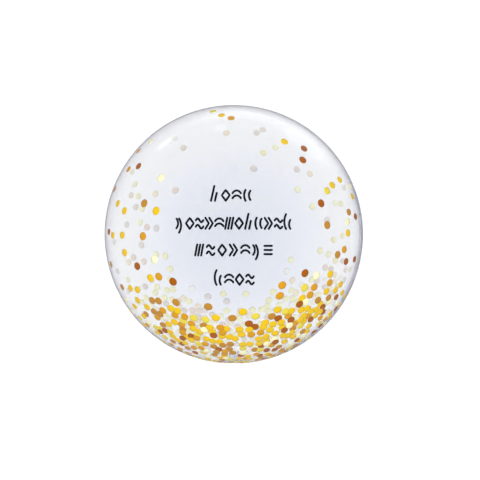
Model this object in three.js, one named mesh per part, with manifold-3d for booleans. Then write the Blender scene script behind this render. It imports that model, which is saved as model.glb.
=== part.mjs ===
// A clear bubble balloon: two round panels of stretch film, heat-welded together round their rim and blown up to
// a ball, with the flat filling neck that the same weld leaves at the bottom of the print.
// It lies on its back, printed side up, so the neck leaves sideways and hangs down under its own weight.
// Millimetres, +Z up. The origin is the middle of the small flat spot that the balloon rests on, +Y points to the
// crown of the print and -Y to the neck. The film is sealed, so the ball and the neck are one closed solid.
import * as THREE from "three";
import { mergeVertices } from "three/addons/utils/BufferGeometryUtils.js";
import Module from "manifold-3d";

const wasm = await Module();
wasm.setup();

// The ball
const BALL_RADIUS = 302;
const FLAT_SPOT_RADIUS = 38; // where the ball's weight presses the film flat
const BALL_HEIGHT = Math.sqrt(BALL_RADIUS ** 2 - FLAT_SPOT_RADIUS ** 2); // of its centre above the floor
const BALL_RINGS = 42;
const BALL_SECTORS = 84;
const RING_CROWDING = 1.45; // above 1, the rings lie closer together near the neck

// The film round the neck, which the weld gathers into folds
const FOLDS = 14;
const FOLD_DEPTH = 3.4;
const FOLD_START = 12; // from the middle of the neck, along the film
const FOLD_REACH = 54; // over which a fold fades to about a third

// The weld round the rim
const WELD_WIDTH = 3; // beyond the ball
const WELD_THICKNESS = 0.8;
const WELD_ROOT = 4; // of the weld inside the ball's surface
const WELD_GAP = 0.09; // half the angle that the rim leaves free for the neck, in radians
const WELD_SECTORS = 120;

// The filling neck
const NECK_LENGTH = 96;
const NECK_WIDTH = 36;
const NECK_THICKNESS = 1.2;
const NECK_FLARE = 15; // added to each side where the neck leaves the ball
const NECK_FLARE_LENGTH = 26;
const NECK_CORNER = 7; // radius of the mouth's corners
const NECK_ROOT = 6; // of the neck inside the ball's surface
const NECK_RUN_OUT = 4; // before the neck starts to bend down, from the root
const NECK_BEND = 4.3; // radius of the bend
const NECK_STEPS = 32;
const NECK_STRIPS = 6;

const CUT_TOLERANCE = 0.02; // edges shorter than this, left where the solids meet, are closed up

const FILM = new THREE.MeshStandardMaterial({
  color: 0xe6eaf6,
  roughness: 0.08,
  metalness: 0,
  transparent: true,
  opacity: 0.35,
});

// Turns a closed geometry into a manifold-3d solid, leaving out the triangles that close to a line at a pole.
function solidOf(geometry) {
  const bare = geometry.clone();
  bare.deleteAttribute("normal");
  bare.deleteAttribute("uv");
  const merged = mergeVertices(bare, 1e-3);
  const corners = merged.index.array;
  const kept = [];
  for (let i = 0; i < corners.length; i += 3) {
    const [a, b, c] = corners.slice(i, i + 3);
    if (a !== b && b !== c && c !== a) kept.push(a, b, c);
  }
  return new wasm.Manifold(
    new wasm.Mesh({
      numProp: 3,
      vertProperties: new Float32Array(merged.attributes.position.array),
      triVerts: new Uint32Array(kept),
    }),
  );
}

// Turns a manifold-3d solid back into a geometry.
function geometryOf(solid) {
  const { vertProperties, triVerts } = solid.getMesh();
  const geometry = new THREE.BufferGeometry();
  geometry.setAttribute("position", new THREE.BufferAttribute(vertProperties, 3));
  geometry.setIndex(new THREE.BufferAttribute(triVerts, 1));
  geometry.computeVertexNormals();
  return geometry;
}

// Moves every vertex of a geometry to place(vertex).
function reshape(geometry, place) {
  const { position } = geometry.attributes;
  const vertex = new THREE.Vector3();
  for (let i = 0; i < position.count; i++) {
    place(vertex.fromBufferAttribute(position, i));
    position.setXYZ(i, vertex.x, vertex.y, vertex.z);
  }
  return geometry;
}

// How far a fold sinks the film below the true ball, at a point of it.
function foldDepth(point) {
  if (point.y > 0) return 0;
  const along = BALL_RADIUS * Math.asin(Math.min(1, Math.hypot(point.x, point.z) / BALL_RADIUS));
  const rise = Math.min(1, along / FOLD_START);
  const fade = Math.exp(-((along / FOLD_REACH) ** 2));
  const fold = 0.5 - 0.5 * Math.cos(FOLDS * Math.atan2(point.z, point.x));
  return FOLD_DEPTH * rise * fade * fold;
}

// The ball, turned about the line through its neck and its crown.
function makeBall() {
  const profile = [];
  for (let i = 0; i <= BALL_RINGS; i++) {
    const angle = Math.PI * (i / BALL_RINGS) ** RING_CROWDING;
    const onAxis = i === 0 || i === BALL_RINGS;
    const radius = onAxis ? 0 : BALL_RADIUS * Math.sin(angle);
    profile.push(new THREE.Vector2(radius, -BALL_RADIUS * Math.cos(angle)));
  }
  const ball = new THREE.LatheGeometry(profile, BALL_SECTORS);
  return reshape(ball, (vertex) => {
    vertex.multiplyScalar(1 - foldDepth(vertex) / BALL_RADIUS);
  });
}

// The weld: a thin flat rim that stands out of the ball where the two panels meet, and stops at the neck.
function makeWeld() {
  const from = -Math.PI / 2 + WELD_GAP;
  const to = (3 * Math.PI) / 2 - WELD_GAP;
  const outline = new THREE.Shape();
  outline.absarc(0, 0, BALL_RADIUS + WELD_WIDTH, from, to);
  outline.absarc(0, 0, BALL_RADIUS - WELD_ROOT, to, from, true);
  const weld = new THREE.ExtrudeGeometry(outline, {
    depth: WELD_THICKNESS,
    bevelEnabled: false,
    curveSegments: WELD_SECTORS,
  });
  return weld.translate(0, 0, -WELD_THICKNESS / 2);
}

// Half the neck's width, at a distance along it: flared at the root, and round at the mouth's corners.
function neckHalfWidth(along) {
  const flare = Math.max(0, 1 - along / NECK_FLARE_LENGTH) ** 2;
  const intoCorner = Math.max(0, along - (NECK_LENGTH - NECK_CORNER));
  const corner = NECK_CORNER - Math.sqrt(NECK_CORNER ** 2 - intoCorner ** 2);
  return NECK_WIDTH / 2 + NECK_FLARE * flare - corner;
}

// The neck's middle line, from inside the ball: out, round the bend, and straight down.
function neckLine(along) {
  const start = -(BALL_RADIUS - NECK_ROOT);
  const turned = THREE.MathUtils.clamp((along - NECK_RUN_OUT) / NECK_BEND, 0, Math.PI / 2);
  const out = Math.min(along, NECK_RUN_OUT);
  const down = Math.max(0, along - NECK_RUN_OUT - (NECK_BEND * Math.PI) / 2);
  return {
    y: start - out - NECK_BEND * Math.sin(turned),
    z: -NECK_BEND * (1 - Math.cos(turned)) - down,
    turned,
  };
}

// The neck: a flat box whose length is bent along its middle line and whose width follows its outline.
function makeNeck() {
  const box = new THREE.BoxGeometry(1, 1, 1, NECK_STRIPS, NECK_STEPS, 1);
  return reshape(box, (vertex) => {
    const along = NECK_LENGTH * (0.5 - vertex.y);
    const off = NECK_THICKNESS * vertex.z;
    const { y, z, turned } = neckLine(along);
    vertex.set(
      2 * vertex.x * neckHalfWidth(along),
      y - off * Math.sin(turned),
      z + off * Math.cos(turned),
    );
  });
}

// Everything under the floor, which flattens the ball where it rests.
function makeFloor() {
  const size = 2 * BALL_RADIUS;
  return new THREE.BoxGeometry(size, size, size).translate(0, 0, -BALL_HEIGHT - size / 2);
}

// The whole sealed envelope.
function makeEnvelope() {
  const envelope = solidOf(makeBall())
    .add(solidOf(makeWeld()))
    .add(solidOf(makeNeck()))
    .subtract(solidOf(makeFloor()))
    .simplify(CUT_TOLERANCE);
  const mesh = new THREE.Mesh(geometryOf(envelope), FILM);
  mesh.name = "film_bubble";
  mesh.position.z = BALL_HEIGHT;
  return mesh;
}

const balloon = new THREE.Group();
balloon.add(makeEnvelope());

export default balloon;
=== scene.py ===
"""Looks of a clear bubble balloon that lies on its back on a plain pale floor.

The balloon is a ball of clear film with a welded rim and a flat filling neck. It is built as thin hollow film over
the CAD solid, with confetti dots printed on it, four rows of cut vinyl strokes on its front, and a valve strip
that hangs inside it from the neck's root. Lengths are in metres unless a name says otherwise, and +Z is up.
"""

import logging
import math
import random
from collections.abc import Callable, Iterator, Sequence
from dataclasses import dataclass, field
from enum import Enum

import bpy
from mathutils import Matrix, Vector


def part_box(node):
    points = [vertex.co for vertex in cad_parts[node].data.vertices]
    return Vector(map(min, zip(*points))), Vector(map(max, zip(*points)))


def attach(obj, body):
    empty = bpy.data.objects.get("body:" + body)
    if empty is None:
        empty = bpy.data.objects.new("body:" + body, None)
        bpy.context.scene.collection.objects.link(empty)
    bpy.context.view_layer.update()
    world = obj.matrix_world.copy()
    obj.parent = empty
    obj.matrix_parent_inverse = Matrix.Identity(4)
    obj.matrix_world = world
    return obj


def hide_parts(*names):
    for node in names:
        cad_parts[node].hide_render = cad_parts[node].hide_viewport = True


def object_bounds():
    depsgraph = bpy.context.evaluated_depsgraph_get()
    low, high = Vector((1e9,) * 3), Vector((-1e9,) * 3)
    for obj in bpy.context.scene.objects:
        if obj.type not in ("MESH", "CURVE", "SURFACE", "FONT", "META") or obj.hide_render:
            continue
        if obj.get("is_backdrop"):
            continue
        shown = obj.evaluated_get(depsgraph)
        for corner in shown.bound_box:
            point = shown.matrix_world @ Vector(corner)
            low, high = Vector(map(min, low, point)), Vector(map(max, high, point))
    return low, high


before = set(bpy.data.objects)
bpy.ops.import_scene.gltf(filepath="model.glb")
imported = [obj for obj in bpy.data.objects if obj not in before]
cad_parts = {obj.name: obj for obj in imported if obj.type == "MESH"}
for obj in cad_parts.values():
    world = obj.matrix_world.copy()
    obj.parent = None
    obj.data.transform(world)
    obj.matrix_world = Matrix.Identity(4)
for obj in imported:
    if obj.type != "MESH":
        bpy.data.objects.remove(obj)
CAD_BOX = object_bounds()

log = logging.getLogger("balloon")

MM = 0.001
TINY = 1e-6  # keeps a divisor away from zero
BODY = "root"
CAD_NODE = "film_bubble"

Colour = tuple[float, float, float, float]
Face = tuple[int, ...]
Point = tuple[float, float]


# ---------------------------------------------------------------------------------------------------------------
# Colours, nodes and meshes


def linear(hex_code: str) -> Colour:
    """Turns an sRGB hex colour into the linear colour that a shader takes.

    Args:
        hex_code: six hex digits, with or without a leading #.

    Returns:
        Red, green, blue and an alpha of one.
    """
    digits = hex_code.lstrip("#")
    channels = [int(digits[i : i + 2], 16) / 255 for i in (0, 2, 4)]
    red, green, blue = (c / 12.92 if c <= 0.04045 else ((c + 0.055) / 1.055) ** 2.4 for c in channels)
    return (red, green, blue, 1.0)


def smoothstep(low: float, high: float, value: float) -> float:
    """Rises smoothly from 0 to 1 as a value goes from one bound to another.

    Args:
        low: where the rise starts.
        high: where it ends.
        value: the value to place.

    Returns:
        A number from 0 to 1.
    """
    t = min(1.0, max(0.0, (value - low) / (high - low)))
    return t * t * (3 - 2 * t)


def add_node(tree: bpy.types.NodeTree, kind: str, **sockets: object) -> bpy.types.Node:
    """Adds one node with its settings, values and links.

    Args:
        tree: the node tree to add to.
        kind: the node's type name.
        **sockets: an input by its name, with underscores for spaces, given a value or the output to link from, or
            one of the node's own settings by its name.

    Returns:
        The new node.
    """
    node = tree.nodes.new(kind)
    for name, value in sockets.items():
        if hasattr(node, name) and name not in ("Color", "Vector"):
            setattr(node, name, value)
            continue
        key: str | int = int(name[1:]) if name[0] == "i" and name[1:].isdigit() else name.replace("_", " ")
        if isinstance(value, bpy.types.NodeSocket):
            tree.links.new(value, node.inputs[key])
        else:
            node.inputs[key].default_value = value
    return node


def new_material(name: str) -> tuple[bpy.types.Material, bpy.types.NodeTree]:
    """Makes an empty node material.

    Args:
        name: the material's name.

    Returns:
        The material and its node tree, which holds only an output.
    """
    material = bpy.data.materials.new(name)
    material.use_nodes = True
    tree = material.node_tree
    tree.nodes.clear()
    tree.nodes.new("ShaderNodeOutputMaterial")
    return material, tree


def set_surface(tree: bpy.types.NodeTree, shader: bpy.types.Node) -> None:
    """Links a shader's first output to the material's surface."""
    tree.links.new(shader.outputs[0], tree.nodes["Material Output"].inputs["Surface"])


@dataclass
class MeshDraft:
    """Corners and faces of a piece while it is being built.

    Attributes:
        corners: the positions, in metres.
        faces: the corner numbers of each face, anticlockwise seen from outside.
        slots: the material slot of each face.
        marks: one number for each corner, such as how near a dot's edge it is.
    """

    corners: list[Vector] = field(default_factory=list)
    faces: list[Face] = field(default_factory=list)
    slots: list[int] = field(default_factory=list)
    marks: list[float] = field(default_factory=list)

    def add_corner(self, place: Vector, mark: float = 0.0) -> int:
        """Adds a corner.

        Args:
            place: its position.
            mark: its number.

        Returns:
            The corner's index.
        """
        self.corners.append(place)
        self.marks.append(mark)
        return len(self.corners) - 1

    def add_face(self, face: Face, slot: int = 0) -> None:
        """Adds a face in a material slot."""
        self.faces.append(face)
        self.slots.append(slot)

    def bridge(self, first: Sequence[int], second: Sequence[int], slot: int = 0) -> None:
        """Joins two closed rings of as many corners with four-sided faces.

        Args:
            first: corners of the first ring.
            second: corners of the second ring.
            slot: the faces' material slot.
        """
        count = len(first)
        for i in range(count):
            after = (i + 1) % count
            self.add_face((first[i], first[after], second[after], second[i]), slot)

    def loft(self, rings: Sequence[Sequence[int]], order: int = 1, capped: bool = True) -> None:
        """Joins a row of closed rings into a tube.

        Args:
            rings: the rings, from one end to the other.
            order: 1, or -1 where the rings run the other way round.
            capped: whether the two ends are closed.
        """
        for first, second in zip(rings, rings[1:]):
            self.bridge(*(first, second)[::order])
        if capped:
            self.add_face(tuple(rings[0])[::-order])
            self.add_face(tuple(rings[-1])[::order])

    def finish(self, name: str, materials: Sequence[bpy.types.Material], smooth: bool = True) -> bpy.types.Object:
        """Turns the draft into an object that rides with the balloon.

        Args:
            name: the piece's name.
            materials: its material slots, in order.
            smooth: whether its faces are shaded as one curved surface.

        Returns:
            The new object.
        """
        mesh = bpy.data.meshes.new(name)
        mesh.from_pydata(self.corners, [], self.faces)
        for material in materials:
            mesh.materials.append(material)
        mesh.polygons.foreach_set("material_index", self.slots)
        mesh.polygons.foreach_set("use_smooth", [smooth] * len(self.faces))
        if any(self.marks):
            layer = mesh.attributes.new("edge_mark", "FLOAT", "POINT")
            layer.data.foreach_set("value", self.marks)
        mesh.update()
        piece = bpy.data.objects.new(name, mesh)
        bpy.context.scene.collection.objects.link(piece)
        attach(piece, BODY)
        return piece


def hide_from(piece: bpy.types.Object, *rays: str) -> None:
    """Hides an object from some kinds of rays, each given by its name."""
    for ray in rays:
        setattr(piece, f"visible_{ray}", False)


def add_sheet(name: str, half: float, rise: float, material: bpy.types.Material) -> bpy.types.Object:
    """Adds a level square sheet for the studio.

    Args:
        name: the sheet's name.
        half: half its side.
        rise: its height.
        material: what it is made of.

    Returns:
        The sheet.
    """
    mesh = bpy.data.meshes.new(name)
    corners = [(x * half, y * half, rise) for x, y in ((-1, -1), (1, -1), (1, 1), (-1, 1))]
    mesh.from_pydata(corners, [], [(0, 1, 2, 3)])
    mesh.materials.append(material)
    sheet = bpy.data.objects.new(name, mesh)
    bpy.context.scene.collection.objects.link(sheet)
    return sheet


def report(piece: bpy.types.Object) -> None:
    """Logs a piece's name, size in millimetres and number of faces."""
    sides = [round(side / MM, 1) for side in piece.dimensions]
    log.info("%s: %s mm, %d faces", piece.name, sides, len(piece.data.polygons))


# ---------------------------------------------------------------------------------------------------------------
# Finishes


@dataclass(frozen=True)
class FilmFinish:
    """Clear stretch film, blown from a soft clear resin and left glossy.

    Attributes:
        name: the material's name.
        tint: the colour that white light takes on in one wall of the film.
        roughness: how much the film blurs what it mirrors.
        bend: its index of refraction.
    """

    name: str
    tint: str
    roughness: float = 0.0
    bend: float = 1.5

    def build(self) -> bpy.types.Material:
        """Makes the material, which gives see-through walls with a faint cool tint and glossy gleams."""
        material, tree = new_material(self.name)
        kind, tint = "ShaderNodeBsdfPrincipled", linear(self.tint)
        shader = add_node(
            tree, kind, Base_Color=tint, Transmission_Weight=1.0, Roughness=self.roughness, IOR=self.bend
        )
        set_surface(tree, shader)
        return material


@dataclass(frozen=True)
class InkFinish:
    """Opaque confetti ink, screen-printed on the film over a thin white undercoat.

    Attributes:
        name: the material's name.
        ink: the ink's colour.
        roughness: of the dried ink.
        specular: how much the ink mirrors; 0.5 is a plain gloss coat.
        edge_darkening: how much darker the ink is where it piles up at a dot's edge.
        grain: how much the ink's colour varies over a dot.
    """

    name: str
    ink: str
    roughness: float = 0.38
    specular: float = 0.17
    edge_darkening: float = 0.12
    grain: float = 0.1

    GRAIN_SIZE = 2.4 * MM
    SPECK_SIZE = 0.5 * MM
    SPECK_HEIGHT = 0.02 * MM
    SPECK_RELIEF = 0.25  # how strongly the specks stand out
    EDGE_FROM = 0.72  # share of a dot's radius from which the ink piles up
    DEEPENED = (0.5, 0.42, 0.36)  # what the thickest ink leaves of red, green and blue
    NOISE_LOW, NOISE_HIGH = 0.3, 0.7  # nearly all of a noise texture lies between these
    SMOOTHER, ROUGHER = 0.06, 0.08  # how far the specks change the roughness

    def build(self) -> bpy.types.Material:
        """Makes the material, which gives a satin ink with cloudy coverage, fine specks and a slightly darker edge."""
        material, tree = new_material(self.name)
        noise, span = "ShaderNodeTexNoise", {"From_Min": self.NOISE_LOW, "From_Max": self.NOISE_HIGH}
        place = add_node(tree, "ShaderNodeTexCoord").outputs["Object"]
        cloud = add_node(tree, noise, Vector=place, Scale=1 / self.GRAIN_SIZE, Detail=3.0, Roughness=0.6)
        speck = add_node(tree, noise, Vector=place, Scale=1 / self.SPECK_SIZE, Detail=1.0, Roughness=0.5)
        edge = add_node(tree, "ShaderNodeAttribute", attribute_name="edge_mark")
        rim = add_node(
            tree,
            "ShaderNodeMapRange",
            Value=edge.outputs["Fac"],
            From_Min=self.EDGE_FROM,
            From_Max=1.0,
            To_Min=0.0,
            To_Max=self.edge_darkening,
        )
        cover = add_node(
            tree, "ShaderNodeMapRange", Value=cloud.outputs["Fac"], To_Min=0.0, To_Max=self.grain, **span
        )
        shade = add_node(tree, "ShaderNodeMath", operation="ADD", i0=rim.outputs[0], i1=cover.outputs[0])
        base = linear(self.ink)
        deep = (*(channel * left for channel, left in zip(base, self.DEEPENED)), 1.0)
        colour = add_node(tree, "ShaderNodeMix", data_type="RGBA", i0=shade.outputs[0], i6=base, i7=deep)
        gloss = add_node(
            tree,
            "ShaderNodeMapRange",
            Value=speck.outputs["Fac"],
            To_Min=self.roughness - self.SMOOTHER,
            To_Max=self.roughness + self.ROUGHER,
            **span,
        )
        bump = add_node(
            tree,
            "ShaderNodeBump",
            Strength=self.SPECK_RELIEF,
            Distance=self.SPECK_HEIGHT,
            Height=speck.outputs["Fac"],
        )
        shader = add_node(
            tree,
            "ShaderNodeBsdfPrincipled",
            Base_Color=colour.outputs[2],
            Roughness=gloss.outputs[0],
            Specular_IOR_Level=self.specular,
            Normal=bump.outputs[0],
        )
        set_surface(tree, shader)
        return material


@dataclass(frozen=True)
class VinylFinish:
    """Near-black cut vinyl, calendered to a fine eggshell grain and laid by hand on the film.

    Attributes:
        name: the material's name.
        colour: the vinyl's colour.
        worn: its colour where the grain stands up.
        roughness: of its surface.
        specular: how much it mirrors; 0.5 is a plain gloss coat.
    """

    name: str
    colour: str
    worn: str
    roughness: float = 0.48
    specular: float = 0.14

    GRAIN_SIZE = 0.7 * MM
    GRAIN_HEIGHT = 0.03 * MM
    GRAIN_RELIEF = 0.3  # how strongly the grain stands out

    def build(self) -> bpy.types.Material:
        """Makes the material, which gives a dark satin surface with a fine eggshell grain."""
        material, tree = new_material(self.name)
        noise, first, second = "ShaderNodeTexNoise", linear(self.colour), linear(self.worn)
        place = add_node(tree, "ShaderNodeTexCoord").outputs["Object"]
        grain = add_node(tree, noise, Vector=place, Scale=1 / self.GRAIN_SIZE, Detail=2.0, Roughness=0.55)
        height = grain.outputs["Fac"]
        colour = add_node(tree, "ShaderNodeMix", data_type="RGBA", i0=height, i6=first, i7=second)
        bump = add_node(
            tree, "ShaderNodeBump", Strength=self.GRAIN_RELIEF, Distance=self.GRAIN_HEIGHT, Height=height
        )
        shader = add_node(
            tree,
            "ShaderNodeBsdfPrincipled",
            Base_Color=colour.outputs[2],
            Roughness=self.roughness,
            Specular_IOR_Level=self.specular,
            Normal=bump.outputs[0],
        )
        set_surface(tree, shader)
        return material


@dataclass(frozen=True)
class FloorFinish:
    """Plain pale matt board under the balloon.

    Attributes:
        name: the material's name.
        colour: of the board.
    """

    name: str
    colour: str

    def build(self) -> bpy.types.Material:
        """Makes the material, which gives an even matt white."""
        material, tree = new_material(self.name)
        set_surface(tree, add_node(tree, "ShaderNodeBsdfDiffuse", Color=linear(self.colour)))
        return material


class Film(Enum):
    """The film of each part of the balloon."""

    CLEAR = FilmFinish("clear blown film", "#F1F2F4")
    # The film beside the weld has a darker tint: painted rim shade, standing in for the grey rim that a grazing view
    # gives.
    MARGIN = FilmFinish("film beside the weld, tinted as painted rim shade", "#ECEDF4")
    WELD = FilmFinish("heat-welded film", "#BCBFCA", roughness=0.12)
    NECK = FilmFinish("neck film", "#F0F4FB", roughness=0.05)
    VALVE = FilmFinish("valve strip film", "#DCE6F2", roughness=0.08)


@dataclass(frozen=True)
class DotInk:
    """One ink of the confetti print.

    Attributes:
        face: the ink, seen from outside.
        back: the undercoat with the ink showing through, seen from inside the ball.
        share: how many of the dots have this ink, as a weight.
    """

    face: InkFinish
    back: InkFinish
    share: float


class Confetti(Enum):
    """The inks of the confetti dots."""

    GOLD = DotInk(InkFinish("yellow gold ink", "#E8C012"), InkFinish("yellow gold undercoat", "#FFFBC8"), 0.38)
    AMBER = DotInk(InkFinish("amber ink", "#D29618"), InkFinish("amber undercoat", "#FFF0D2"), 0.16)
    COPPER = DotInk(InkFinish("copper ink", "#A05600"), InkFinish("copper undercoat", "#F5E3D2"), 0.17)
    BRONZE = DotInk(InkFinish("bronze ink", "#BA842A"), InkFinish("bronze undercoat", "#EBE2D8"), 0.13)
    LEMON = DotInk(InkFinish("lemon ink", "#E2D048"), InkFinish("lemon undercoat", "#FFFFD2"), 0.09)
    CREAM = DotInk(InkFinish("cream ink", "#F6F3C4"), InkFinish("cream undercoat", "#FFFFF2"), 0.07)


# ---------------------------------------------------------------------------------------------------------------
# The ball's shape


@dataclass
class BallShape:
    """The ball's surface, placed and sized from the CAD solid.

    Attributes:
        weld_width: how far the weld stands out of the ball.
        flat_spot: radius of the flat spot that the ball lies on.
        wall: thickness of the film.
        folds: how many folds the weld gathers round the neck.
        fold_depth: how deep they are.
        fold_start: how far from the middle of the neck they reach their depth.
        fold_reach: over what length they fade to about a third.
        rim_radius: of the weld's outer edge.
        radius: of the ball.
        centre: of the ball.
        floor: height of the flat spot.
    """

    weld_width: float = 3 * MM
    flat_spot: float = 38 * MM
    wall: float = 0.25 * MM
    folds: int = 14
    fold_depth: float = 3.4 * MM
    fold_start: float = 12 * MM
    fold_reach: float = 54 * MM
    rim_radius: float = field(init=False)
    radius: float = field(init=False)
    centre: Vector = field(init=False)
    floor: float = field(init=False)

    def __post_init__(self) -> None:
        """Reads the CAD solid's box."""
        low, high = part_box(CAD_NODE)
        self.rim_radius = (high[0] - low[0]) / 2
        self.radius = self.rim_radius - self.weld_width
        self.centre = Vector(((low[0] + high[0]) / 2, (low[1] + high[1]) / 2, high[2] - self.radius))
        self.floor = low[2]

    def fold_at(self, way: Vector) -> float:
        """How deep the folds round the neck sink the film.

        Args:
            way: unit vector from the ball's centre.

        Returns:
            The depth, in metres.
        """
        if way.y > 0:
            return 0.0
        along = self.radius * math.asin(min(1.0, math.hypot(way.x, way.z)))
        rise = min(1.0, along / self.fold_start)
        fade = math.exp(-((along / self.fold_reach) ** 2))
        fold = 0.5 - 0.5 * math.cos(self.folds * math.atan2(way.z, way.x))
        return self.fold_depth * rise * fade * fold

    def point(self, way: Vector, lift: float = 0.0) -> Vector:
        """A point on or near the film.

        Args:
            way: unit vector from the ball's centre.
            lift: how far outside the film's outer face the point lies.

        Returns:
            The point, which is never below the floor that flattens the film.
        """
        place = self.centre + way * (self.radius - self.fold_at(way) + lift)
        place.z = max(place.z, self.floor - lift)
        return place

    def toward(self, x: float, y: float) -> Vector:
        """Which way a point of the front lies from the centre, from its place in plan.

        Args:
            x: how far it is to the right of the centre.
            y: how far it is toward the crown.

        Returns:
            A unit vector.
        """
        return Vector((x, y, math.sqrt(max(0.0, self.radius**2 - x * x - y * y)))).normalized()


@dataclass(frozen=True)
class FilmBall:
    """The ball of film: an outer and an inner face, a thin wall apart.

    Attributes:
        shape: the surface to follow.
        rings: how many rings of corners lie from the equator to a pole.
        sectors: how many corners a ring has.
        crowded_by: share of the grid's spacing that is taken off near the weld and the neck.
        rim_shade_reach: how far the darker film beside the weld reaches from the weld, in radii; its darker tint is
            painted rim shade.
    """

    shape: BallShape
    rings: int = 60
    sectors: int = 288
    crowded_by: float = 0.6
    rim_shade_reach: float = 0.2

    def crowded(self, t: float) -> float:
        """Maps -1..1 onto itself with the steps closer together near the middle."""
        return (1 - self.crowded_by) * t + self.crowded_by * t**3

    def heights(self) -> list[float]:
        """The rings' angles from the front pole, with one ring round the flat spot's edge.

        Returns:
            Angles in radians, without the poles.
        """
        steps = [i / self.rings for i in range(-self.rings + 1, self.rings)]
        angles = [math.pi / 2 * (1 + self.crowded(t)) for t in steps]
        spot = math.pi - math.asin(self.shape.flat_spot / self.shape.radius)
        nearest = min(range(len(angles)), key=lambda i: abs(angles[i] - spot))
        angles[nearest] = spot
        return angles

    def azimuths(self) -> list[float]:
        """The directions of a ring's corners in plan, close together near the neck."""
        steps = [2 * i / self.sectors - 1 for i in range(self.sectors)]
        return [-math.pi / 2 + math.pi * self.crowded(t) for t in steps]

    def slot_of(self, angle: float) -> int:
        """The material slot at an angle from the front pole: 1 beside the weld, where the darker film is painted rim
        shade, 0 elsewhere.
        """
        return 1 if abs(math.cos(angle)) < self.rim_shade_reach else 0

    def add_wall(self, draft: MeshDraft, lift: float, outward: bool) -> None:
        """Adds one face of the film.

        Args:
            draft: the mesh to add to.
            lift: how far the face lies outside the film's outer face.
            outward: whether the face looks out of the ball.
        """
        heights, azimuths = self.heights(), self.azimuths()
        rings = []
        for angle in heights:
            flat = math.sin(angle)
            ways = [Vector((flat * math.cos(a), flat * math.sin(a), math.cos(angle))) for a in azimuths]
            rings.append([draft.add_corner(self.shape.point(way, lift)) for way in ways])
        poles = [draft.add_corner(self.shape.point(Vector((0, 0, side)), lift)) for side in (1, -1)]
        order = 1 if outward else -1
        for i in range(len(rings) - 1):
            slot = self.slot_of((heights[i] + heights[i + 1]) / 2)
            first, second = (rings[i + 1], rings[i])[::order]
            draft.bridge(first, second, slot)
        for pole, ring, turn in ((poles[0], rings[0], 1), (poles[1], rings[-1], -1)):
            for i, corner in enumerate(ring):
                after = ring[(i + 1) % len(ring)]
                draft.add_face((pole, corner, after)[:: order * turn], 0)

    def build(self) -> bpy.types.Object:
        """Makes the piece, which stands for the CAD solid.

        Returns:
            The ball of film.
        """
        draft = MeshDraft()
        self.add_wall(draft, 0.0, outward=True)
        self.add_wall(draft, -self.shape.wall, outward=False)
        # The second slot, the darker film beside the weld, is painted rim shade.
        piece = draft.finish("film_ball", [Film.CLEAR.value.build(), Film.MARGIN.value.build()])
        hide_from(piece, "shadow", "diffuse")
        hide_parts(CAD_NODE)
        return piece


@dataclass(frozen=True)
class WeldRim:
    """The weld: a thin rim that stands out of the ball where its two panels meet.

    Attributes:
        shape: the ball that it goes round.
        finish: of its film.
        root: how far it reaches into the ball.
        thickness: of the two films welded together.
        edge: share of its thickness that is left at the outer edge.
        crimp: how deep the jaw's ridges press into it.
        crimp_pitch: from one ridge to the next.
        gap: half the angle it leaves free for the neck, in radians.
    """

    shape: BallShape
    finish: Film = Film.WELD
    root: float = 0.4 * MM
    thickness: float = 0.6 * MM
    edge: float = 0.5
    crimp: float = 0.12 * MM
    crimp_pitch: float = 6 * MM
    gap: float = 0.062

    def build(self) -> bpy.types.Object:
        """Makes the rim, with the crimp that the sealing jaws leave.

        Returns:
            The welded rim.
        """
        draft, shape = MeshDraft(), self.shape
        turn = 2 * math.pi - 2 * self.gap
        steps = 2 * round(turn * shape.rim_radius / self.crimp_pitch)
        sections = []
        for i in range(steps + 1):
            angle = -math.pi / 2 + self.gap + turn * i / steps
            way = Vector((math.cos(angle), math.sin(angle), 0))
            half = self.thickness / 2 - (self.crimp if i % 2 else 0)
            inner, outer = shape.radius - self.root, shape.rim_radius
            middle = (inner + outer) / 2
            profile = [(inner, -half), (middle, -half), (outer, -half * self.edge)]
            profile += [(outer, half * self.edge), (middle, half), (inner, half)]
            places = [shape.centre + way * reach + Vector((0, 0, rise)) for reach, rise in profile]
            sections.append([draft.add_corner(place) for place in places])
        draft.loft(sections, order=-1)
        piece = draft.finish("weld_rim", [self.finish.value.build()])
        hide_from(piece, "shadow")
        return piece


class HangingLine:
    """A line that starts sideways near the ball's edge, bends down and hangs."""

    def __init__(self, shape: BallShape, start: float, run_out: float, bend: float, outward: bool) -> None:
        """Sets the line out.

        Args:
            shape: the ball.
            start: how far inside the ball's surface it starts.
            run_out: its length before the bend.
            bend: radius of the bend.
            outward: whether it leaves the ball, rather than reaching into it.
        """
        self.origin = shape.centre - Vector((0, shape.radius - start, 0))
        self.run_out, self.bend, self.side = run_out, bend, -1 if outward else 1

    def at(self, along: float) -> tuple[Vector, Vector]:
        """A point of the line and its normal.

        Args:
            along: the distance from the line's start.

        Returns:
            The point, and the unit vector across the film there.
        """
        out = min(along, self.run_out)
        turned = min(math.pi / 2, max(0.0, (along - self.run_out) / self.bend))
        down = max(0.0, along - self.run_out - self.bend * math.pi / 2)
        reach = out + self.bend * math.sin(turned)
        drop = self.bend * (1 - math.cos(turned)) + down
        place = self.origin + Vector((0, self.side * reach, -drop))
        return place, Vector((0, self.side * math.sin(turned), math.cos(turned)))


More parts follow.
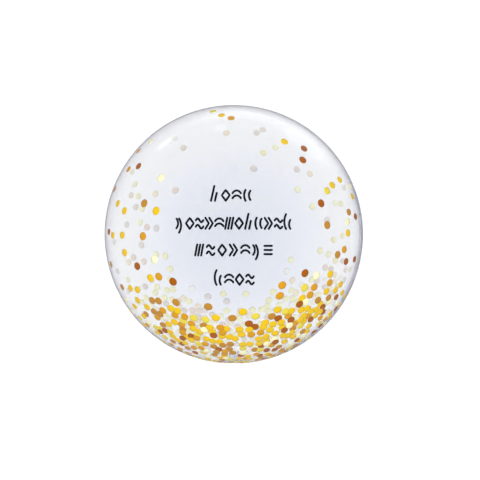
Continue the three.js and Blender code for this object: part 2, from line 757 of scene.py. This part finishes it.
@dataclass(frozen=True)
class Neck:
    """The filling neck: a flat tube of film, welded along both sides and open at its mouth.

    Attributes:
        shape: the ball that it hangs from.
        finish: of its film.
        steps: how many lengths it is built in.
        across: how many corners lie across one face of the tube.
        length: along its middle line.
        half_width: of the tube.
        flare: added to each side where it leaves the ball.
        flare_length: how far the flare reaches.
        corner: radius of the mouth's corners.
        root: how far it reaches into the ball.
        run_out: before it starts to bend.
        bend: radius of the bend.
        half_gap: half the space between its two films.
        wall: thickness of one film.
        pressed_gap: half the space between the films where they are welded.
        seam: width of the weld along each side.
        seam_inside: share of the weld's width by which the tube's inside is narrower on each side.
        ripple: how far it waves from flat.
        ripple_from: how far along it the waves start.
        ripple_full: how far along it they are full.
        ripple_across: turn of the waves from its middle to its side, in radians.
        ripple_along: turn of the waves along it, in radians for each metre.
    """

    shape: BallShape
    finish: Film = Film.NECK
    steps: int = 72
    across: int = 20
    length: float = 96 * MM
    half_width: float = 18 * MM
    flare: float = 15 * MM
    flare_length: float = 26 * MM
    corner: float = 7 * MM
    root: float = 6 * MM
    run_out: float = 4 * MM
    bend: float = 4.3 * MM
    half_gap: float = 0.45 * MM
    wall: float = 0.12 * MM
    pressed_gap: float = 0.02 * MM
    seam: float = 3 * MM
    seam_inside: float = 0.7
    ripple: float = 0.5 * MM
    ripple_from: float = 20 * MM
    ripple_full: float = 60 * MM
    ripple_across: float = 3.1
    ripple_along: float = 90.0

    @property
    def line(self) -> HangingLine:
        """The neck's middle line."""
        return HangingLine(self.shape, self.root, self.run_out, self.bend, outward=True)

    def half_width_at(self, along: float) -> float:
        """Half the neck's width, flared at the root and rounded at the mouth's corners."""
        flare = self.flare * max(0.0, 1 - along / self.flare_length) ** 2
        into = max(0.0, along - (self.length - self.corner))
        return self.half_width + flare - (self.corner - math.sqrt(max(0.0, self.corner**2 - into**2)))

    def half_depth(self, across: float, half_width: float, inner: bool) -> float:
        """Half the tube's depth at a place across it.

        Args:
            across: the distance from its middle.
            half_width: of the tube there.
            inner: whether it is the tube's inside.

        Returns:
            The half depth, which is a film's thickness along the side welds.
        """
        open_width = max(TINY, half_width - self.seam)
        swell = math.sqrt(max(0.0, 1 - min(1.0, abs(across) / open_width) ** 2))
        return self.half_gap * swell + (self.pressed_gap if inner else self.wall)

    def section(self, draft: MeshDraft, along: float, inner: bool) -> list[int]:
        """Adds one closed ring across the neck.

        Args:
            draft: the mesh to add to.
            along: where along the neck.
            inner: whether it is the tube's inside.

        Returns:
            The ring's corners.
        """
        width = self.half_width_at(along)
        half = width - (self.seam * self.seam_inside if inner else 0)
        middle, normal = self.line.at(along)
        free = smoothstep(self.ripple_from, self.ripple_full, along)
        corners = []
        for side in (1, -1):
            for i in range(self.across):
                t = 1 - 2 * i / self.across
                across = side * t * half
                depth = side * self.half_depth(across, width, inner)
                turn = self.ripple_across * across / half + self.ripple_along * along
                wave = self.ripple * free * math.sin(turn)
                place = middle + Vector((across, 0, 0)) + normal * (depth + wave)
                corners.append(draft.add_corner(place))
        return corners

    def build(self) -> bpy.types.Object:
        """Makes the neck.

        Returns:
            The hanging neck.
        """
        draft = MeshDraft()
        steps = [self.length * i / self.steps for i in range(self.steps + 1)]
        outer = [self.section(draft, along, inner=False) for along in steps]
        inner = [self.section(draft, along, inner=True) for along in steps]
        draft.loft(outer, capped=False)
        draft.loft(inner, order=-1, capped=False)
        draft.bridge(outer[-1], inner[-1])
        draft.bridge(inner[0], outer[0])
        piece = draft.finish("filling_neck", [self.finish.value.build()])
        hide_from(piece, "shadow")
        return piece


@dataclass(frozen=True)
class ValveStrip:
    """The one-way valve: a thin strip that hangs from the neck's root inside the ball.

    Attributes:
        shape: the ball that it hangs in.
        finish: of its film.
        steps: how many lengths it is built in.
        across: how many widths it is built in.
        half_width: of the strip.
        thickness: of its two films together.
        length: along its middle line.
        root: how far inside the ball's surface it starts, between the neck's two films.
        run_in: its length before it bends down.
        bend: radius of its bend.
        curl: how far its sides curl from flat.
        curl_from: how far along it the curl starts.
        curl_full: how far along it the curl is full.
    """

    shape: BallShape
    finish: Film = Film.VALVE
    steps: int = 44
    across: int = 6
    half_width: float = 11 * MM
    thickness: float = 0.16 * MM
    length: float = 82 * MM
    root: float = 2 * MM
    run_in: float = 8 * MM
    bend: float = 9 * MM
    curl: float = 1.2 * MM
    curl_from: float = 20 * MM
    curl_full: float = 80 * MM

    def build(self) -> bpy.types.Object:
        """Makes the strip.

        Returns:
            The valve strip.
        """
        draft = MeshDraft()
        rings = []
        line = HangingLine(self.shape, self.root, self.run_in, self.bend, outward=False)
        for i in range(self.steps + 1):
            along = self.length * i / self.steps
            middle, normal = line.at(along)
            curl = self.curl * smoothstep(self.curl_from, self.curl_full, along)
            ring = []
            for side in (1, -1):
                for j in range(self.across + 1):
                    across = side * self.half_width * (2 * j / self.across - 1)
                    rise = side * self.thickness / 2 + curl * (across / self.half_width) ** 2
                    place = middle + Vector((across, 0, 0)) + normal * rise
                    ring.append(draft.add_corner(place))
            rings.append(ring)
        draft.loft(rings)
        piece = draft.finish("valve_strip", [self.finish.value.build()])
        hide_from(piece, "shadow")
        return piece


# ---------------------------------------------------------------------------------------------------------------
# The print


@dataclass(frozen=True)
class Dot:
    """One printed dot.

    Attributes:
        way: unit vector from the ball's centre to the dot.
        ink: which ink it is printed in.
        layer: how many printed layers lie under it.
    """

    way: Vector
    ink: Confetti
    layer: int


@dataclass(frozen=True)
class ConfettiPrint:
    """Confetti dots, scattered over both panels and crowded toward the neck.

    Attributes:
        shape: the ball that it is printed on.
        dot_radius: of a dot, where the film is least stretched.
        narrowed: share of its width that a dot has lost beside the weld.
        drawn_out: share of its length that it has gained there, toward the weld.
        even_until: angle from the panel's middle up to which the dots are still round.
        uneven_from: angle from which they have their full stretch.
        ink: thickness of the ink.
        layer: from one printed layer to the next, where dots overlap.
        clearance: between the film and the first layer.
        fold_lift: how much further the dots stand off the film where it is folded, beside the neck.
        fold_lift_reach: over what length that fades to about a third.
        window: angle from the panel's middle that is left clear, at the sides.
        low_window: the same, toward the neck.
        window_fade: over what angle the dots set in.
        band_window: angle from which the crowded band starts.
        band_fade: over what angle it sets in.
        dense_from: how far toward the neck the dots start to crowd, in radii.
        dense_to: how far toward the neck they are most crowded, in radii.
        lean: how far the band leans to the right.
        low_slope: how steeply toward the neck a place has to lie to count as fully low.
        low_share: how crowded the print is toward the neck, between the window and the band.
        side_share: how crowded the sides are, beside the band.
        crown_share: how crowded the crown is.
        crown_from: how far toward the crown the print starts to thin out, in radii.
        crown_to: how far toward the crown it is thinnest, in radii.
        weld_thinning: share of the dots that is missing beside the weld, away from the neck.
        thin_from: angle from the panel's middle from which the dots thin out toward the weld.
        thin_to: angle at which they are thinnest.
        kept_from: how far toward the neck that thinning starts to fade, in radii.
        kept_to: how far toward the neck it is gone, in radii.
        neck_bare: how far round the neck stays bare.
        loosest: least distance of two dots where they are few, in dot radii.
        tightest: the same where they are most crowded.
        overlap: distance below which two dots may overlap, in dot radii.
        tries: how many places are tried for each panel.
        seed: of the scatter.
        corners: how many corners a dot's edge has.
        rings: a dot's rings of corners, as shares of its size.
        fold_rings: the same where the film is folded.
        folded: share of the lift from which a dot has those.
    """

    shape: BallShape
    dot_radius: float = 9.3 * MM
    narrowed: float = 0.22
    drawn_out: float = 0.38
    even_until: float = math.radians(30)
    uneven_from: float = math.radians(82)
    ink: float = 0.04 * MM
    layer: float = 0.05 * MM
    clearance: float = 0.03 * MM
    fold_lift: float = 0.9 * MM
    fold_lift_reach: float = 70 * MM
    window: float = math.radians(33)
    low_window: float = math.radians(27)
    window_fade: float = math.radians(8)
    band_window: float = math.radians(37)
    band_fade: float = math.radians(6)
    dense_from: float = 0.25
    dense_to: float = 0.68
    lean: float = 0.12
    low_slope: float = 0.7
    low_share: float = 0.15
    side_share: float = 0.082
    crown_share: float = 0.042
    crown_from: float = 0.2
    crown_to: float = 0.7
    weld_thinning: float = 0.85
    thin_from: float = math.radians(60)
    thin_to: float = math.radians(82)
    kept_from: float = 0.8
    kept_to: float = 0.98
    neck_bare: float = 34 * MM
    loosest: float = 2.6
    tightest: float = 1.3
    overlap: float = 2.9
    tries: int = 3500
    seed: int = 43
    corners: int = 24
    rings: tuple[float, ...] = (0.6, 1.0)
    fold_rings: tuple[float, ...] = (0.25, 0.5, 0.75, 1.0)
    folded: float = 0.05

    def from_neck(self, way: Vector) -> float:
        """How far a place is from the middle of the neck's root, in a straight line."""
        return (way + Vector((0, 1, 0))).length * self.shape.radius

    def crowding(self, way: Vector) -> float:
        """How crowded the print is at a place.

        Args:
            way: unit vector from the ball's centre.

        Returns:
            From 0, bare, to 1, dots over dots.
        """
        angle = math.acos(min(1.0, abs(way.z)))
        down = -way.y + self.lean * way.x
        low = smoothstep(0.0, self.low_slope, down / max(TINY, math.hypot(way.x, way.y)))
        edge = self.window + (self.low_window - self.window) * low
        inside = smoothstep(edge, edge + self.window_fade, angle)
        fade = smoothstep(self.band_window, self.band_window + self.band_fade, angle)
        band = smoothstep(self.dense_from, self.dense_to, down) * fade
        crown = smoothstep(self.crown_from, self.crown_to, way.y)
        share = self.side_share + (self.crown_share - self.side_share) * crown
        share += (self.low_share - share) * low
        thin = self.weld_thinning * smoothstep(self.thin_from, self.thin_to, angle)
        thin *= 1 - smoothstep(self.kept_from, self.kept_to, -way.y)
        return inside * (share + (1 - share) * band) * (1 - thin)

    def half_sizes(self, way: Vector) -> tuple[float, float]:
        """Half the width and half the length of a dot, as the film's stretch has drawn it out.

        Args:
            way: unit vector from the ball's centre to the dot.

        Returns:
            The half width, along the weld, and the half length, toward the weld.
        """
        stretch = smoothstep(self.even_until, self.uneven_from, math.acos(min(1.0, abs(way.z))))
        width = self.dot_radius * (1 - self.narrowed * stretch)
        return width, self.dot_radius * (1 + self.drawn_out * stretch)

    def scatter(self, side: int, rng: random.Random) -> Iterator[Vector]:
        """Places dots on one panel.

        Args:
            side: 1 for the front panel, -1 for the back.
            rng: the source of chance.

        Yields:
            The unit vector to each dot.
        """
        taken: list[Vector] = []
        for _ in range(self.tries):
            up, turn = rng.uniform(0, 1), rng.uniform(0, 2 * math.pi)
            flat = math.sqrt(1 - up * up)
            way = Vector((flat * math.cos(turn), flat * math.sin(turn), side * up))
            crowding = self.crowding(way)
            if rng.random() > crowding:
                continue
            if self.from_neck(way) < self.neck_bare:
                continue
            apart = self.loosest - (self.loosest - self.tightest) * crowding
            spacing = self.dot_radius / self.shape.radius * apart
            if all((way - other).length > spacing for other in taken):
                taken.append(way)
                yield way

    def dots(self) -> list[Dot]:
        """Places every dot and stacks those that overlap.

        Returns:
            The dots.
        """
        rng = random.Random(self.seed)
        inks = list(Confetti)
        shares = [ink.value.share for ink in inks]
        reach = self.overlap * self.dot_radius / self.shape.radius
        placed: list[Dot] = []
        for side in (1, -1):
            for way in self.scatter(side, rng):
                under = {dot.layer for dot in placed if (dot.way - way).length < reach}
                layer = next(i for i in range(len(under) + 1) if i not in under)
                placed.append(Dot(way, rng.choices(inks, shares)[0], layer))
        return placed

    def add_dot(self, draft: MeshDraft, dot: Dot, slots: tuple[int, int]) -> None:
        """Adds one dot as a thin closed disc that follows the film.

        Args:
            draft: the mesh to add to.
            dot: the dot.
            slots: the material slots of its face and its back.
        """
        shape = self.shape
        across = Vector((0, 0, 1)).cross(dot.way).normalized()
        toward_weld = dot.way.cross(across)
        half_width, half_length = self.half_sizes(dot.way)
        near = math.exp(-((self.from_neck(dot.way) / self.fold_lift_reach) ** 2))
        rings = self.fold_rings if near > self.folded else self.rings
        low = self.clearance + dot.layer * self.layer + self.fold_lift * near

        def ring(share: float, lift: float) -> list[int]:
            """Adds a ring of corners at a share of the dot's size."""
            ways = []
            for i in range(self.corners):
                turn = 2 * math.pi * i / self.corners
                place = across * (math.cos(turn) * half_width) + toward_weld * (math.sin(turn) * half_length)
                ways.append((dot.way + place * (share / shape.radius)).normalized())
            return [draft.add_corner(shape.point(way, lift), share) for way in ways]

        edges: list[list[int]] = []
        for lift, slot, order in ((low + self.ink, slots[0], 1), (low, slots[1], -1)):
            middle = draft.add_corner(shape.point(dot.way, lift))
            circles = [ring(share, lift) for share in rings]
            for i, corner in enumerate(circles[0]):
                draft.add_face((middle, corner, circles[0][(i + 1) % self.corners])[::order], slot)
            for inner, outer in zip(circles, circles[1:]):
                draft.bridge(*(outer, inner)[::order], slot)
            edges.append(circles[-1])
        draft.bridge(edges[1], edges[0], slots[0])

    def build(self) -> bpy.types.Object:
        """Prints the dots.

        Returns:
            The confetti print.
        """
        draft, materials = MeshDraft(), []
        slots = {}
        for ink in Confetti:
            slots[ink] = (len(materials), len(materials) + 1)
            materials += [ink.value.face.build(), ink.value.back.build()]
        dots = self.dots()
        for dot in dots:
            self.add_dot(draft, dot, slots[dot.ink])
        log.info("confetti: %d dots", len(dots))
        piece = draft.finish("confetti_print", materials)
        hide_from(piece, "shadow", "diffuse")
        return piece


# ---------------------------------------------------------------------------------------------------------------
# The message strokes


ARC_STEP = 12  # degrees from one point of an arc to the next, about
ARC_STEPS = 6  # the least that an arc has
WAVE_STEPS = 16


def arc(centre: Point, radius: float, start: float, end: float) -> list[Point]:
    """Points along an arc.

    Args:
        centre: of the arc.
        radius: of the arc.
        start: its first angle, in degrees.
        end: its last angle, in degrees.

    Returns:
        The points, in shares of the row's height.
    """
    steps = max(ARC_STEPS, round(abs(end - start) / ARC_STEP))
    angles = [math.radians(start + (end - start) * i / steps) for i in range(steps + 1)]
    return [(centre[0] + radius * math.cos(a), centre[1] + radius * math.sin(a)) for a in angles]


def ripple(start: Point, end: Point, swing: float) -> list[Point]:
    """Points along one full wave from a point to another.

    Args:
        start: where the wave starts.
        end: where it ends.
        swing: how far it swings to each side.

    Returns:
        The points, in shares of the row's height.
    """
    along = (end[0] - start[0], end[1] - start[1])
    length = math.hypot(*along)
    side = (-along[1] / length, along[0] / length)
    points = []
    for i in range(WAVE_STEPS + 1):
        t = i / WAVE_STEPS
        off = swing * math.sin(2 * math.pi * t)
        points.append((start[0] + t * along[0] + off * side[0], start[1] + t * along[1] + off * side[1]))
    return points


class Stroke(Enum):
    """Plain marks that stand in for lettering: none of them is a letter."""

    BOWS = (arc((1.0, 0.5), 0.95, 148, 212), arc((1.22, 0.5), 0.66, 140, 220))
    SLANTS = (((0.0, 0.0), (0.22, 1.0)), ((0.32, 0.0), (0.54, 1.0)), ((0.64, 0.0), (0.86, 1.0)))
    WAVES = (ripple((0.02, 0.78), (0.82, 0.78), 0.17), ripple((0.02, 0.2), (0.82, 0.2), 0.17))
    CAPS = (arc((0.42, 0.42), 0.52, 32, 148), arc((0.42, -0.04), 0.52, 32, 148))
    LOZENGE = (((0.42, 0.0), (0.0, 0.5), (0.42, 1.0), (0.84, 0.5), (0.42, 0.0)),)
    CHEVRONS = (((0.0, 1.0), (0.36, 0.5), (0.0, 0.0)), ((0.42, 1.0), (0.78, 0.5), (0.42, 0.0)))
    RAILS = (((0.0, 0.88), (0.78, 0.88)), ((0.0, 0.5), (0.78, 0.5)), ((0.0, 0.12), (0.78, 0.12)))
    TALL_SLANTS = (((0.02, 0.0), (0.36, 1.36)), ((0.44, 0.0), (0.62, 0.72)))
    TALL_BOWS = (arc((1.3, 0.66), 1.3, 148, 211), arc((1.22, 0.42), 0.7, 144, 216))
    DROPPED_BOWS = (arc((-0.52, 0.3), 1.05, -38, 38), arc((-0.42, 0.5), 0.62, -44, 44))


@dataclass(frozen=True)
class MessageRow:
    """One row of marks.

    Attributes:
        foot: how far its foot is toward the crown, from the ball's middle.
        middle: how far its middle is to the right of the ball's.
        length: from the first mark to the end of the last one's place.
        marks: from left to right.
    """

    foot: float
    middle: float
    length: float
    marks: tuple[Stroke, ...]


TOP_ROW = (Stroke.TALL_SLANTS, Stroke.LOZENGE, Stroke.CAPS, Stroke.BOWS)
LONG_ROW = (Stroke.DROPPED_BOWS, Stroke.LOZENGE, Stroke.WAVES, Stroke.CHEVRONS, Stroke.CAPS, Stroke.SLANTS)
LONG_ROW += (Stroke.LOZENGE, Stroke.TALL_SLANTS, Stroke.BOWS, Stroke.CHEVRONS, Stroke.WAVES, Stroke.TALL_BOWS)
THIRD_ROW = (Stroke.SLANTS, Stroke.WAVES, Stroke.LOZENGE, Stroke.CHEVRONS, Stroke.CAPS, Stroke.DROPPED_BOWS)
THIRD_ROW += (Stroke.RAILS,)
LAST_ROW = (Stroke.TALL_BOWS, Stroke.CAPS, Stroke.LOZENGE, Stroke.WAVES)


@dataclass(frozen=True)
class MessageStrokes:
    """Four centred rows of cut vinyl strokes on the front of the film.

    Attributes:
        shape: the ball that they lie on.
        finish: of the vinyl.
        height: of a low mark.
        mark_width: width of a mark's unit, as a share of the height of a low mark.
        width: of the vinyl line.
        thickness: of the vinyl.
        clearance: between the film and the vinyl.
        layer: how much higher each further line of a mark lies.
        rows: from the crown to the neck.
        end_corners: how many corners each end of a line has on each side.
        step: distance of the corners along a line, at most.
    """

    shape: BallShape
    finish: VinylFinish = VinylFinish("black cut vinyl", "#08090F", "#12131B")
    height: float = 23 * MM
    mark_width: float = 0.86
    width: float = 4.6 * MM
    thickness: float = 0.12 * MM
    clearance: float = 0.14 * MM
    layer: float = 0.02 * MM
    rows: tuple[MessageRow, ...] = (
        MessageRow(69 * MM, -3 * MM, 92 * MM, TOP_ROW),
        MessageRow(10 * MM, 2 * MM, 249 * MM, LONG_ROW),
        MessageRow(-46 * MM, 3 * MM, 170 * MM, THIRD_ROW),
        MessageRow(-108 * MM, 3 * MM, 88 * MM, LAST_ROW),
    )
    end_corners: int = 5
    step: float = 3 * MM

    def resample(self, line: Sequence[Point]) -> list[Vector]:
        """Sets even corners along a line.

        Args:
            line: its corners, in metres.

        Returns:
            Corners no further apart than a step.
        """
        points = []
        for first, second in zip(line, line[1:]):
            start, end = Vector((*first, 0)), Vector((*second, 0))
            count = max(1, math.ceil((end - start).length / self.step))
            points += [start.lerp(end, i / count) for i in range(count)]
        return [*points, Vector((*line[-1], 0))]

    def outline(self, points: Sequence[Vector]) -> list[tuple[Vector, Vector]]:
        """The two sides of a line, with its round ends.

        Args:
            points: the line's corners.

        Returns:
            Pairs of left and right corners, from one end to the other.
        """
        half, pairs = self.width / 2, []
        tangents = []
        for i in range(len(points)):
            before, after = points[max(0, i - 1)], points[min(len(points) - 1, i + 1)]
            tangents.append((after - before).normalized())
        for at_end, index in ((False, 0), (True, len(points) - 1)):
            caps = []
            tangent = tangents[index]
            side = Vector((-tangent.y, tangent.x, 0))
            for j in range(self.end_corners):
                turn = math.pi / 2 * (j + 0.5) / self.end_corners
                back = half * math.cos(turn) * (1 if at_end else -1)
                middle = points[index] + tangent * back
                reach = side * half * math.sin(turn)
                caps.append((middle + reach, middle - reach))
            if at_end:
                pairs += reversed(caps)
            else:
                pairs += caps
                for point, direction in zip(points, tangents):
                    across = Vector((-direction.y, direction.x, 0)) * half
                    pairs.append((point + across, point - across))
        return pairs

    def add_line(self, draft: MeshDraft, line: Sequence[Point], lift: float) -> None:
        """Lays one vinyl line on the film.

        Args:
            draft: the mesh to add to.
            line: its corners in plan, in metres from the ball's middle.
            lift: how far its underside lies above the film.
        """
        shape, rings = self.shape, []
        for left, right in self.outline(self.resample(line)):
            middle = (left + right) / 2
            ring = []
            over = [(left, 1.0), (middle, 1.0), (right, 1.0)]
            for place, rise in [(left, 0.0), *over, (right, 0.0), (middle, 0.0)]:
                way = shape.toward(place.x, place.y)
                ring.append(draft.add_corner(shape.point(way, lift + rise * self.thickness)))
            rings.append(ring)
        draft.loft(rings)

    def build(self) -> bpy.types.Object:
        """Lays out the rows.

        Returns:
            The message strokes.
        """
        draft = MeshDraft()
        for row in self.rows:
            pitch = row.length / len(row.marks)
            for i, mark in enumerate(row.marks):
                left = row.middle - row.length / 2 + i * pitch + self.width / 2
                for j, line in enumerate(mark.value):
                    across = self.height * self.mark_width
                    placed = [(left + x * across, row.foot + y * self.height) for x, y in line]
                    self.add_line(draft, placed, self.clearance + j * self.layer)
        piece = draft.finish("message_strokes", [self.finish.build()], smooth=False)
        return piece


# ---------------------------------------------------------------------------------------------------------------
# The studio


@dataclass(frozen=True)
class Gleam:
    """A soft reflector card that the film mirrors at one place of its front.

    Attributes:
        name: the card's name.
        share: how far from the ball's middle it is mirrored, in radii.
        turn: in which direction, in degrees anticlockwise from the right.
        sides: the card's width round the ball and its height, in metres.
        glow: its brightness at the middle, against white.
    """

    name: str
    share: float
    turn: float
    sides: tuple[float, float]
    glow: float


@dataclass(frozen=True)
class RoomTone:
    """The room's light at one height.

    Attributes:
        height: from -1, straight down, to 1, straight up.
        light: red, green and blue, against white.
    """

    height: float
    light: tuple[float, float, float]


UPPER_TONES = (
    RoomTone(-0.62, (0.92, 0.90, 0.87)),
    RoomTone(-0.25, (1.28, 1.19, 1.00)),
    RoomTone(0.2, (0.95, 1.00, 1.15)),
    RoomTone(0.55, (0.60, 0.68, 1.00)),
    RoomTone(1.0, (0.05, 0.25, 0.65)),
)


@dataclass(frozen=True)
class Studio:
    """A pale floor, soft light from above, the room that the film mirrors, and the camera.

    Attributes:
        shape: the ball in the middle of it.
        finish: of the floor.
        floor: side of the floor.
        floor_gap: between the floor and the balloon's flat spot.
        lens: focal length of the camera, in millimetres.
        sensor: width of its sensor, in millimetres.
        distance: from the camera to the ball's centre.
        camera_right: how far the camera is to the right of the ball's centre.
        camera_up: how far it is toward the crown.
        view_end: how far the camera sees.
        panel: side of the soft panel overhead.
        panel_height: of the panel above the ball's centre.
        panel_power: in watts.
        fill: the even light of the room on matt things, against white.
        card_distance: from the film to a reflector card.
        card_fade: share of a card's glow pattern at which it is fully bright.
        gleams: the reflector cards.
        tones: the room's light from straight down to straight up.
        shaded_tones: the same on the room's shaded side.
        shade_from: how far toward the shaded side the room starts to darken, as a cosine.
        shade_full: how far toward it the room is fully shaded, as a cosine.
        shaded_turn: direction of the shaded side, in degrees anticlockwise from the right.
    """

    shape: BallShape
    finish: FloorFinish = FloorFinish("matt white board", "#F4F4F4")
    floor: float = 14.0
    floor_gap: float = 0.3 * MM
    lens: float = 85.0
    sensor: float = 36.0
    distance: float = 2.675
    camera_right: float = 14.6 * MM
    camera_up: float = -13.5 * MM
    view_end: float = 50.0
    panel: float = 3.0
    panel_height: float = 4.0
    panel_power: float = 130.0
    fill: float = 0.62
    card_distance: float = 1.0
    card_fade: float = 0.45
    gleams: tuple[Gleam, ...] = (
        Gleam("left_card", 0.83, 127, (0.42, 0.36), 2.1),
        Gleam("crown_card", 0.77, 97, (0.3, 0.4), 1.9),
        Gleam("right_card", 0.85, 51, (1.2, 1.25), 1.75),
        Gleam("crown_glow", 0.885, 80, (2.3, 0.8), 1.5),
    )
    tones: tuple[RoomTone, ...] = (
        RoomTone(-1.0, (0.40, 0.39, 0.42)),
        RoomTone(-0.88, (0.60, 0.58, 0.60)),
        *UPPER_TONES,
    )
    shaded_tones: tuple[RoomTone, ...] = (
        RoomTone(-1.0, (0.62, 0.60, 0.66)),
        RoomTone(-0.95, (0.24, 0.22, 0.29)),
        RoomTone(-0.86, (0.03, 0.02, 0.07)),
        RoomTone(-0.81, (0.50, 0.48, 0.53)),
        *UPPER_TONES,
    )
    shade_from: float = 0.45
    shade_full: float = 0.8
    shaded_turn: float = -20.0

    def add_floor(self) -> None:
        """Lays the floor just under the balloon, where the film doesn't mirror it."""
        rise = self.shape.floor - self.floor_gap
        floor = add_sheet("floor", self.floor / 2, rise, self.finish.build())
        hide_from(floor, "glossy")
        floor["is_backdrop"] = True

    def add_panel(self) -> None:
        """Hangs the large soft panel over the balloon, out of the film's sight."""
        lamp = bpy.data.lights.new("overhead_panel", "AREA")
        lamp.size = self.panel
        lamp.energy = self.panel_power
        panel = bpy.data.objects.new("overhead_panel", lamp)
        panel.location = self.shape.centre + Vector((0, 0, self.panel_height))
        hide_from(panel, "glossy", "transmission", "camera")
        bpy.context.scene.collection.objects.link(panel)
        panel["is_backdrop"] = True

    def card_finish(self, gleam: Gleam) -> bpy.types.Material:
        """A reflector card's glow, which fades out toward the card's edge.

        Args:
            gleam: the card.

        Returns:
            The card's material.
        """
        material, tree = new_material(gleam.name)
        place = add_node(tree, "ShaderNodeTexCoord").outputs["Object"]
        fade = add_node(tree, "ShaderNodeTexGradient", gradient_type="QUADRATIC_SPHERE", Vector=place)
        spread = {"Value": fade.outputs["Fac"], "From_Min": 0.0, "From_Max": self.card_fade}
        share = add_node(tree, "ShaderNodeMapRange", **spread)
        glow = add_node(tree, "ShaderNodeEmission", Color=linear("#FFFFFF"), Strength=gleam.glow)
        clear = add_node(tree, "ShaderNodeBsdfTransparent")
        inputs = {"i0": share.outputs[0], "i1": clear.outputs[0], "i2": glow.outputs[0]}
        set_surface(tree, add_node(tree, "ShaderNodeMixShader", **inputs))
        return material

    def add_gleam(self, gleam: Gleam) -> None:
        """Stands a reflector card where the film mirrors it to the camera.

        Args:
            gleam: the card.
        """
        shape, turn = self.shape, math.radians(gleam.turn)
        flat = gleam.share * shape.radius
        way = shape.toward(flat * math.cos(turn), flat * math.sin(turn))
        spot = shape.point(way)
        seen = (self.camera_place() - spot).normalized()
        mirrored = 2 * way.dot(seen) * way - seen
        card = add_sheet(gleam.name, 1.0, 0.0, self.card_finish(gleam))
        card.location = spot + mirrored * self.card_distance
        card.rotation_euler = mirrored.to_track_quat("Z", "Y").to_euler()
        card.scale = (gleam.sides[0] / 2, gleam.sides[1] / 2, 1)
        hide_from(card, "camera", "diffuse", "shadow", "transmission")
        card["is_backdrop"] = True

    def tone_ramp(
        self, tree: bpy.types.NodeTree, height: bpy.types.NodeSocket, tones: Sequence[RoomTone]
    ) -> bpy.types.NodeSocket:
        """Turns a height in the room into the room's light there.

        Args:
            tree: the world's node tree.
            height: the height, from -1 to 1.
            tones: the lights to pass through.

        Returns:
            The light's colour.
        """
        share = add_node(tree, "ShaderNodeMapRange", Value=height, From_Min=-1.0, From_Max=1.0)
        ramp = add_node(tree, "ShaderNodeValToRGB", Fac=share.outputs[0])
        stops = ramp.color_ramp.elements
        while len(stops) < len(tones):
            stops.new(1.0)
        for stop, tone in zip(stops, tones):
            stop.position = (tone.height + 1) / 2
            stop.color = (*tone.light, 1.0)
        return ramp.outputs["Color"]

    def add_world(self) -> None:
        """Fills the room with pale light, brightest round the horizon, cooler overhead and darker on one side."""
        world = bpy.data.worlds.new("studio")
        world.use_nodes = True
        tree = world.node_tree
        tree.nodes.clear()
        way = add_node(tree, "ShaderNodeTexCoord").outputs["Generated"]
        height = add_node(tree, "ShaderNodeSeparateXYZ", i0=way).outputs["Z"]
        flat = add_node(tree, "ShaderNodeVectorMath", operation="MULTIPLY", i0=way, i1=(1.0, 1.0, 0.0))
        level = add_node(tree, "ShaderNodeVectorMath", operation="NORMALIZE", i0=flat.outputs[0])
        turn = math.radians(self.shaded_turn)
        shaded_way = (math.cos(turn), math.sin(turn), 0.0)
        dot = "DOT_PRODUCT"
        along = add_node(tree, "ShaderNodeVectorMath", operation=dot, i0=level.outputs[0], i1=shaded_way)
        spread = {"Value": along.outputs["Value"], "From_Min": self.shade_from, "From_Max": self.shade_full}
        shade = add_node(tree, "ShaderNodeMapRange", **spread)
        colour = add_node(
            tree,
            "ShaderNodeMix",
            data_type="RGBA",
            i0=shade.outputs[0],
            i6=self.tone_ramp(tree, height, self.tones),
            i7=self.tone_ramp(tree, height, self.shaded_tones),
        )
        mirrored = add_node(tree, "ShaderNodeBackground", Color=colour.outputs[2])
        filling = add_node(tree, "ShaderNodeBackground", Color=linear("#FFFFFF"), Strength=self.fill)
        on_matt = add_node(tree, "ShaderNodeLightPath").outputs["Is Diffuse Ray"]
        inputs = {"i0": on_matt, "i1": mirrored.outputs[0], "i2": filling.outputs[0]}
        light = add_node(tree, "ShaderNodeMixShader", **inputs)
        output = tree.nodes.new("ShaderNodeOutputWorld")
        tree.links.new(light.outputs[0], output.inputs["Surface"])
        bpy.context.scene.world = world

    def camera_place(self) -> Vector:
        """Where the camera is."""
        return self.shape.centre + Vector((self.camera_right, self.camera_up, self.distance))

    def add_camera(self) -> None:
        """Looks straight down on the printed front, with the crown at the top of the picture."""
        data = bpy.data.cameras.new("camera")
        data.lens, data.sensor_width = self.lens, self.sensor
        data.clip_end = self.view_end
        camera = bpy.data.objects.new("camera", data)
        camera.location = self.camera_place()
        bpy.context.scene.collection.objects.link(camera)
        bpy.context.scene.camera = camera

    def build(self) -> None:
        """Sets up the floor, the lights, the room and the camera."""
        self.add_floor()
        self.add_panel()
        for gleam in self.gleams:
            self.add_gleam(gleam)
        self.add_world()
        self.add_camera()
        bpy.context.scene.view_settings.view_transform = "Standard"
        log.info("studio: %d reflector cards", len(self.gleams))


def write_sizes() -> None:
    """Works out the CAD model's box and the visual model's box as plain lists, but does nothing further with them."""
    boxes = {"cad": CAD_BOX, "visual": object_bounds()}
    plain = {name: [[float(v) for v in corner] for corner in box] for name, box in boxes.items()}


def main() -> None:
    """Builds the balloon's pieces and the studio."""
    logging.basicConfig(level=logging.INFO, format="%(message)s")
    shape = BallShape()
    builders: list[Callable[[], bpy.types.Object]] = [
        FilmBall(shape).build,
        WeldRim(shape).build,
        Neck(shape).build,
        ValveStrip(shape).build,
        ConfettiPrint(shape).build,
        MessageStrokes(shape).build,
    ]
    for build in builders:
        report(build())
    Studio(shape).build()
    write_sizes()


if __name__ == "__main__":
    main()
